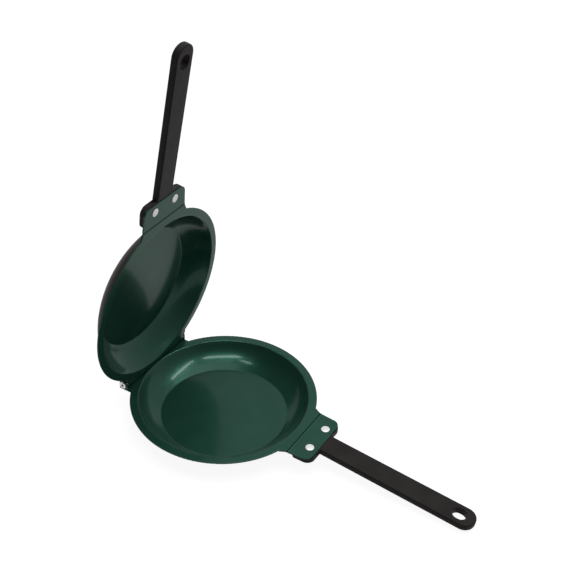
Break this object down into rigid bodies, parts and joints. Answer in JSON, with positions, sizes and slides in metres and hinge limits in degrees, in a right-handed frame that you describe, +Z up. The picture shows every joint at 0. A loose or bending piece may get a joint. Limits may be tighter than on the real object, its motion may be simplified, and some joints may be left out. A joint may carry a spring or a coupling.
{
  "type": "double sided flip pan",
  "caption": "Hinged pair of shallow round frying pans that close rim to rim, each with a flat straight handle riveted to a tab opposite the hinge; shown standing open.",
  "frame": {"origin": "centre of the flat underside of the lower pan, which the open or closed pan stands on", "axes": "+X along the lower handle, away from the hinge; +Z up out of the lower pan; +Y along the hinge pin"},
  "size_m": [0.3871, 0.19, 0.3978],
  "materials": {
    "coated_sheet": "pressed aluminium, glossy dark green non-stick inside and on the rim, dark brown outside",
    "handle_moulding": "heat-resistant moulding, matte near-black",
    "rivet_alloy": "plain aluminium, satin",
    "hinge_steel": "plain steel"
  },
  "bodies": {
    "lower_half": {"lower_pan": "coated_sheet", "lower_handle": "handle_moulding", "lower_rivets": "rivet_alloy", "lower_rivet_washers": "rivet_alloy", "hinge_pin": "hinge_steel", "hinge_washers": "hinge_steel"},
    "upper_half": {"upper_pan": "coated_sheet", "upper_handle": "handle_moulding", "upper_rivets": "rivet_alloy", "upper_rivet_washers": "rivet_alloy"}
  },
  "joints": [
    {"name": "pan_hinge", "type": "hinge", "parent": "lower_half", "child": "upper_half", "pos_m": [-0.0901, 0, 0.02998], "axis": [0, -1, 0], "range_deg": [-83.5, 96.5]}
  ]
}
